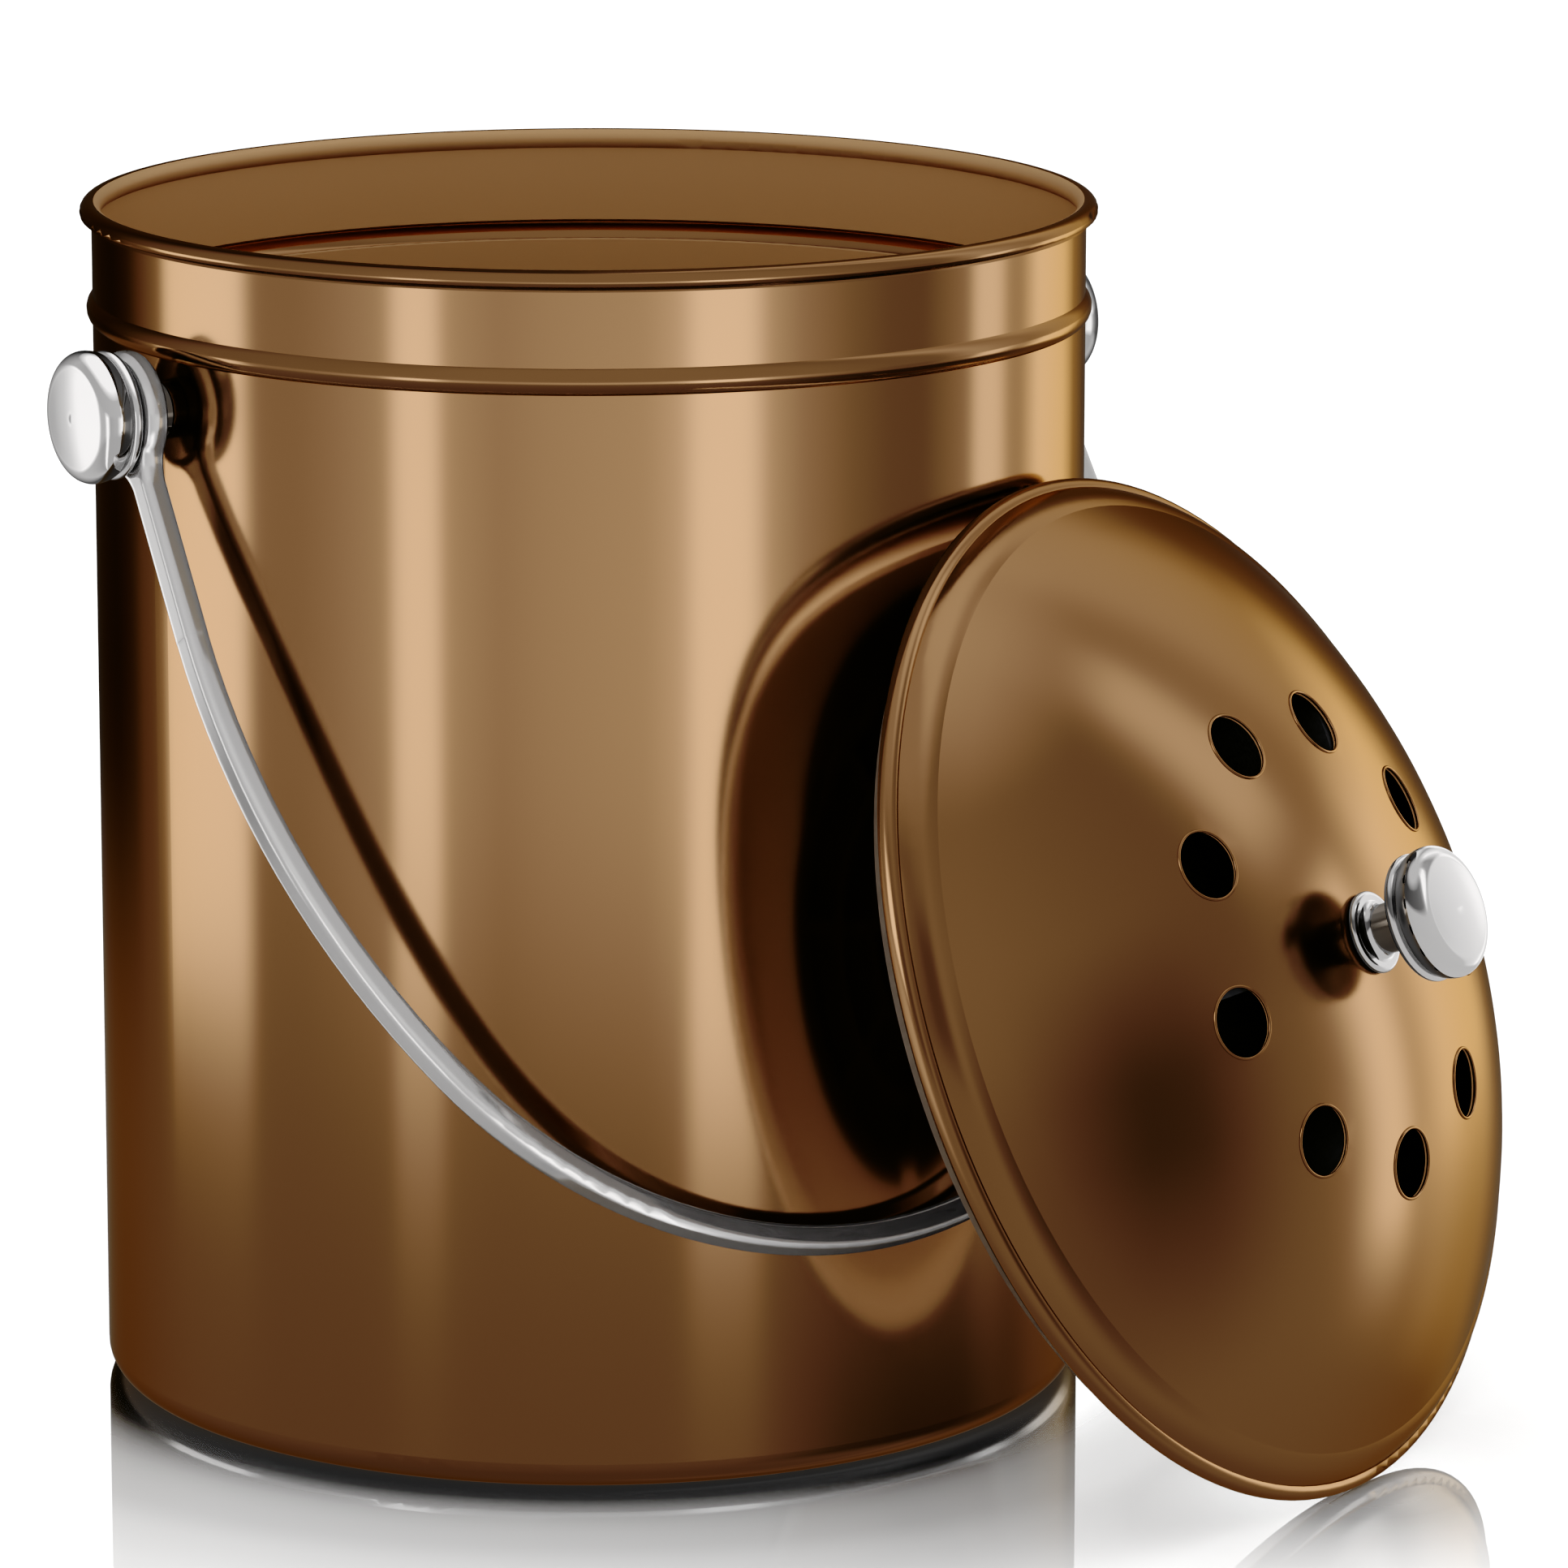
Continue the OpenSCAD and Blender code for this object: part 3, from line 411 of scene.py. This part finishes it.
class LightTree:
    """The brightness of a sphere of lights, laid down card by card.

    A place on it is an angle in degrees, to the camera's right from behind the camera, and a
    height as a share of the sphere's radius.
    """

    def __init__(self, name):
        self.mat, self.nodes, self.links = new_material(name)
        place, turn = self.nodes.new("ShaderNodeTexCoord"), self.nodes.new("ShaderNodeMapping")
        around, split = self.nodes.new("ShaderNodeTexGradient"), self.nodes.new("ShaderNodeSeparateXYZ")
        turn.inputs["Rotation"].default_value = (0, 0, -CAMERA_SIDE)
        around.gradient_type = "RADIAL"
        self.links.new(place.outputs["Object"], turn.inputs["Vector"])
        self.links.new(turn.outputs["Vector"], around.inputs["Vector"])
        self.links.new(place.outputs["Object"], split.inputs["Vector"])
        self.angle = around.outputs["Fac"]
        self.height = math_node(self.nodes, self.links, "MULTIPLY_ADD", split.outputs["Z"], 0.5 / SET_R, 0.5)

    def over_angle(self, stops):
        """A level that follows the angle, with its stops in degrees."""
        node = ramp(self.nodes, [(0.5 + angle / 360, level) for angle, level in stops])
        self.links.new(self.angle, node.inputs["Fac"])
        return node.outputs["Color"]

    def over_height(self, stops):
        """A level that follows the height, with its stops from -1 to 1."""
        node = ramp(self.nodes, [(0.5 + height / 2, level) for height, level in stops])
        self.links.new(self.height, node.inputs["Fac"])
        return node.outputs["Color"]

    def zones(self, split, low, high):
        """low below the split's stops, high above them."""
        return blend_node(self.nodes, self.links, self.over_height(split), low, high)

    def card(self, under, level, sides, ends):
        """A card of one brightness over what is under it, with soft sides and ends."""
        share = math_node(self.nodes, self.links, "MULTIPLY", self.over_angle(sides), self.over_height(ends))
        return blend_node(self.nodes, self.links, share, under, level)

    def finish(self, strength):
        """Shines with this strength, and lets every ray pass on."""
        out, glow = self.nodes.new("ShaderNodeOutputMaterial"), self.nodes.new("ShaderNodeEmission")
        clear, both = self.nodes.new("ShaderNodeBsdfTransparent"), self.nodes.new("ShaderNodeAddShader")
        fill(self.links, (glow.inputs["Strength"],), (strength,))
        self.links.new(glow.outputs[0], both.inputs[0])
        self.links.new(clear.outputs[0], both.inputs[1])
        self.links.new(both.outputs[0], out.inputs["Surface"])
        return self.mat


def pail_lights():
    """Three strips in front of the pail and two beyond the lid, on grey walls over a dark floor."""
    tree = LightTree("pail_lights")
    floor = tree.over_height([(-0.85, 0.12), (-0.55, 0.14), (-0.30, 0.155), (-0.20, 0.175)])
    walls = tree.over_angle([(-170, 0.08), (-140, 0.05), (-128, 0.07), (-112, 0.15), (-98, 0.19),
                             (-60, 0.205), (-40, 0.23), (30, 0.24), (50, 0.225), (70, 0.19), (84, 0.19),
                             (95, 0.42), (105, 0.32), (116, 0.27), (128, 0.40), (143, 0.45), (150, 0.20),
                             (160, 0.11)])
    front = tree.over_angle([(-160, 0.06), (-140, 0.04), (-130, 0.06), (-118, 0.19), (-80, 0.26),
                             (-68, 0.27), (-60, 0.31), (-50, 0.38), (-31, 0.44), (-20, 0.36), (-10, 0.41),
                             (0, 0.44), (12, 0.47), (19, 0.60), (40, 0.50), (48, 0.33), (60, 0.22),
                             (70, 0.17), (80, 0.16), (90, 0.26), (112, 0.39), (150, 0.28), (160, 0.13),
                             (172, 0.10)])
    base = tree.zones([(0.04, 0), (0.09, 1)], front, walls)
    base = tree.zones([(-0.215, 0), (-0.185, 0.15), (-0.16, 0.45), (-0.125, 0.9), (-0.10, 1)], floor, base)
    # The three strips in front, from left to right.
    base = tree.card(base, 1.0, [(-114, 0), (-110, 1), (-86, 1), (-81, 0)],
                     [(-0.215, 0), (-0.185, 0.10), (-0.175, 0.35), (-0.160, 1), (0.05, 1), (0.08, 0)])
    base = tree.card(base, 1.0, [(-46, 0), (-43, 1), (-35, 1), (-32, 0)],
                     [(-0.225, 0), (-0.20, 0.1), (-0.165, 0.5), (-0.14, 0.85), (-0.12, 1), (0.05, 1),
                      (0.08, 0)])
    base = tree.card(base, 1.0, [(19.5, 0), (24, 1), (35.5, 1), (40, 0)],
                     [(-0.23, 0), (-0.20, 0.35), (-0.185, 0.8), (-0.175, 1), (0.05, 1), (0.08, 0)])
    # The two strips beyond the lid, and a dark card low on that side: a painted reflection of the lid's
    # shadow on the floor, which the pail mirrors.
    base = tree.card(base, 1.0,
                     [(94, 0), (98, 0.8), (105, 0.8), (110, 0), (115, 0), (123, 1), (139, 1), (148, 0)],
                     [(-0.24, 0.04), (-0.205, 0.14), (-0.185, 0.36), (-0.165, 0.80), (-0.155, 1),
                      (0.05, 1), (0.08, 0)])
    base = tree.card(base, 0.055, [(35, 0), (60, 0.8), (75, 1), (95, 1), (150, 0)],
                     [(-0.75, 0), (-0.55, 1), (-0.26, 1), (-0.215, 0)])
    return tree.finish(base)


def lid_lights():
    """Two tall strips on the far side, a grey ceiling, and a dark soft spot that faces the dome."""
    tree = LightTree("lid_lights")
    floor = tree.over_height([(-0.85, 0.15), (-0.55, 0.19), (-0.25, 0.205)])
    walls = tree.over_angle([(-100, 0.20), (-60, 0.26), (-35, 0.20), (-15, 0.16), (10, 0.20), (35, 0.235),
                             (60, 0.195), (85, 0.165), (93, 0.22), (112, 0.25), (118, 0.26), (126, 0.39),
                             (142, 0.41), (150, 0.15), (158, 0.11), (170, 0.12)])
    front = tree.over_angle([(-100, 0.32), (-70, 0.42), (-40, 0.46), (-20, 0.22), (0, 0.20), (35, 0.21),
                             (75, 0.18), (90, 0.21), (97, 0.27), (112, 0.46), (118, 0.46), (149, 0.22),
                             (158, 0.11), (170, 0.12)])
    base = tree.zones([(0.20, 0), (0.38, 1)], front, walls)
    base = tree.zones([(-0.40, 0), (-0.30, 0.35), (-0.20, 0.75), (-0.12, 1)], floor, base)
    # A dark card high up, and the dark spot below it.
    base = tree.card(base, 0.12, [(-8, 0), (2, 1), (18, 1), (28, 0)],
                     [(0.25, 0), (0.38, 1), (0.60, 1), (0.72, 0)])
    base = tree.card(base, 0.08, [(35, 0), (48, 0.6), (58, 1), (68, 0.9), (76, 0.35), (84, 0)],
                     [(-0.45, 0), (-0.25, 0.35), (-0.05, 0.72), (0.08, 1), (0.24, 1), (0.38, 0.55),
                      (0.52, 0)])
    # The narrow strip with its dimmer top, the broad strip, and a soft box high on the left.
    base = tree.card(base, 1.0, [(96, 0), (102, 0.75), (104, 1), (108, 1), (113, 0)],
                     [(-0.34, 0), (-0.27, 0.18), (-0.22, 0.55), (-0.17, 1), (0.30, 1), (0.36, 0)])
    base = tree.card(base, 0.57, [(91, 0), (98, 1), (106, 1), (111, 0)],
                     [(0.40, 0), (0.50, 1), (0.74, 1), (0.82, 0)])
    base = tree.card(base, 1.0, [(114, 0), (123, 1), (141, 1), (150, 0)],
                     [(-0.40, 0), (-0.32, 0.15), (-0.24, 0.22), (-0.19, 0.36), (-0.14, 0.7), (-0.10, 1),
                      (0.24, 1), (0.40, 0)])
    base = tree.card(base, 1.0, [(-66, 0), (-55, 1), (-24, 1), (-14, 0)],
                     [(0.36, 0), (0.43, 1), (0.66, 1), (0.74, 0)])
    ceiling = tree.over_angle([(30, 0.30), (60, 0.44), (100, 0.46)])
    base = tree.zones([(0.78, 0), (0.92, 1)], base, ceiling)
    return tree.finish(base)


def handle_lights():
    """For the plated handle: grey walls and floor, a broad soft box and thin bright lines."""
    tree = LightTree("handle_lights")
    walls = tree.over_angle([(-160, 0.05), (-130, 0.10), (-112, 0.30), (-95, 0.36), (-75, 0.30),
                             (-50, 0.36), (-20, 0.46), (15, 0.44), (45, 0.30), (75, 0.26), (100, 0.36),
                             (140, 0.45), (165, 0.10)])
    low = tree.over_angle([(-160, 0.15), (-125, 0.75), (-115, 0.18), (-100, 0.26), (-60, 0.32),
                           (-35, 0.40), (-12, 0.8), (15, 1.0), (40, 0.40), (80, 0.16), (120, 0.12),
                           (165, 0.12)])
    line = tree.over_angle([(-160, 0.10), (-146, 0.60), (-138, 1), (-124, 1), (-119, 0.60), (-113, 0.48),
                            (-108, 0.14), (-101, 0.14), (-97, 1), (-89, 1), (-83, 0.28), (-50, 0.30),
                            (60, 0.50), (150, 0.50)])
    base = tree.zones([(-0.42, 0), (-0.30, 1)], low, line)
    base = tree.zones([(0.12, 0), (0.24, 1)], base, walls)
    # A bright line on the left, and the soft box on the right.
    base = tree.card(base, 1.0, [(-44, 0), (-38, 1), (-30, 1), (-24, 0)],
                     [(-0.50, 0), (-0.40, 1), (0.10, 1), (0.22, 0)])
    base = tree.card(base, 1.0, [(54, 0), (66, 1), (100, 1), (112, 0)],
                     [(-0.3, 0), (-0.2, 1), (0.3, 1), (0.45, 0)])
    base = tree.zones([(0.60, 0), (0.75, 0.6), (0.94, 1)], base, 0.34)
    return tree.finish(base)


def pivot_lights():
    """For the pivots' knobs and posts: a soft box to the left, two thin bright lines and a white ceiling."""
    tree = LightTree("pivot_lights")
    walls = tree.over_angle([(-160, 0.05), (-125, 0.30), (-112, 0.40), (-98, 0.36), (0, 0.40), (55, 0.42),
                             (70, 0.90), (84, 0.90), (95, 0.40), (130, 0.10), (165, 0.10)])
    low = tree.over_angle([(-160, 0.10), (-120, 0.45), (-100, 0.42), (-60, 0.31), (-44, 0.32), (-36, 1),
                           (-28, 1), (-20, 0.35), (76, 0.36), (105, 0.42), (142, 0.10), (165, 0.10)])
    line = tree.over_angle([(-160, 0.10), (-130, 0.34), (-124, 0.40), (-118, 0.60), (-112, 1), (-92, 1),
                            (-75, 0.42), (-48, 0.42), (-36, 1), (-28, 1), (-16, 0.34), (30, 0.40),
                            (52, 0.95), (72, 0.95), (86, 0.30), (115, 0.10), (165, 0.10)])
    base = tree.zones([(-0.34, 0), (-0.18, 1)], low, line)
    base = tree.zones([(0.17, 0), (0.26, 1)], base, walls)
    base = tree.zones([(0.62, 0), (0.80, 1)], base, 0.95)
    return tree.finish(base)


def knob_lights():
    """For the lid's knob: an even grey room, with a broad soft box and a bright line on the far side."""
    tree = LightTree("knob_lights")
    room = tree.over_angle([(-160, 0.10), (-70, 0.10), (-60, 0.42), (98, 0.47), (104, 0.62), (110, 0.70),
                            (116, 0.80), (121, 1.0), (126, 0.95), (132, 0.72), (150, 0.75), (156, 0.95),
                            (168, 0.90), (172, 0.2)])
    low = tree.over_angle([(-160, 0.30), (-40, 0.44), (150, 0.47)])
    high = tree.over_angle([(-160, 0.05), (-60, 0.08), (20, 0.13), (50, 0.17), (62, 0.30), (72, 1.0),
                            (88, 0.95), (95, 0.3), (110, 0.25), (120, 0.6), (130, 0.95), (150, 0.6),
                            (160, 0.3), (175, 0.7)])
    base = tree.zones([(-0.36, 0), (-0.26, 1)], low, room)
    base = tree.zones([(0.40, 0), (0.52, 1)], base, high)
    base = tree.zones([(0.82, 0), (0.95, 1)], base, 0.45)
    return tree.finish(base)


def ball(radius, rings):
    """Builds a ball about the origin, with twice as many segments as rings."""
    return lambda bm: bmesh.ops.create_uvsphere(bm, u_segments=2 * rings, v_segments=rings, radius=radius)


def disc(radius, sides):
    """Builds a flat disc about the origin."""
    return lambda bm: bmesh.ops.create_circle(bm, cap_ends=True, segments=sides, radius=radius)


def light_sphere(name, radius, mat, lit):
    """A sphere that lights its own pieces only, and only in their gloss."""
    sphere = stage_piece(name, ball(radius, LIGHT_RINGS), mat)
    sphere.visible_camera = sphere.visible_diffuse = False
    sphere.visible_shadow = sphere.visible_transmission = False
    mat.cycles.emission_sampling = "NONE"
    group = bpy.data.collections.new(name + "_on")
    for piece in lit:
        group.objects.link(piece)
    sphere.light_linking.receiver_collection = group


def make_room():
    """A white floor, a white backdrop that only the camera sees, and soft light from all round."""
    floor = stage_piece("floor", disc(FLOOR_R, FLOOR_SIDES), floor_painted_mirror())
    floor.visible_glossy = False
    sky = stage_piece("backdrop", ball(BACKDROP_R, BACKDROP_RINGS), plain_glow("backdrop_glow", WHITE_GLOW))
    sky.visible_glossy = sky.visible_diffuse = sky.visible_shadow = sky.visible_transmission = False
    sky.data.materials[0].cycles.emission_sampling = "NONE"
    light_sphere("floor_light", FLOOR_LIGHT_R, LightTree("floor_light").finish(WHITE_GLOW), [floor])

    world = bpy.data.worlds.new("room")
    world.use_nodes = True
    world.node_tree.nodes["Background"].inputs["Color"].default_value = (1, 1, 1, 1)
    world.node_tree.nodes["Background"].inputs["Strength"].default_value = ROOM_GLOW
    world.cycles_visibility.glossy = False
    bpy.context.scene.world = world


def make_lights():
    """Each group of pieces gets a sphere of lights of its own, as a product shot is lit piece by piece."""
    knob = {"lid_knob", "lid_knob_stem"}
    lid = {*BODIES["lid"], *BODIES["grille"]}
    plated_pieces = {name for name in NODES if SLOT_OF[name] == "chrome"} - lid
    rigs = (("pail_light", pail_lights(), set(NODES) - lid - plated_pieces),
            ("lid_light", lid_lights(), lid - knob),
            ("handle_light", handle_lights(), {"bail_handle"}),
            ("pivot_light", pivot_lights(), plated_pieces - {"bail_handle"}),
            ("knob_light", knob_lights(), knob))
    for i, (name, mat, lit) in enumerate(rigs):
        pieces = [NODES[node] for node in sorted(lit)] + ([LIPS] if name == "lid_light" else [])
        light_sphere(name, SET_R + i * SPHERE_GAP, mat, pieces)


# The tone curve, as light and shown value, and what the deepest blues then lose.
TONES = ((0.012, 0.0012), (0.025, 0.0038), (0.0355, 0.008), (0.046, 0.0143), (0.057, 0.0228), (0.07, 0.038),
         (0.09, 0.0666), (0.124, 0.114), (0.2, 0.223), (0.42, 0.468), (0.68, 0.694))
BLUE_SHADOWS = ((0.0039, 0.0), (0.0078, 0.0016), (0.0117, 0.0048), (0.0156, 0.0102), (0.0215, 0.0185),
                (0.031, 0.031), (0.05, 0.05), (0.2, 0.2), (0.6, 0.6))


def grade():
    """A film-like curve over all three channels: deep shadows, gently raised mids, less blue in the dark."""
    look = bpy.context.scene.view_settings
    look.view_transform = "Standard"
    look.use_curve_mapping = True
    all_channels, blue = 3, 2
    for channel, places in ((all_channels, TONES), (blue, BLUE_SHADOWS)):
        curve = look.curve_mapping.curves[channel]
        for light, shown in places:
            curve.points.new(light, shown)
        for point in curve.points:
            point.handle_type = "AUTO_CLAMPED"
    look.curve_mapping.update()


make_camera()
make_room()
make_lights()
grade()
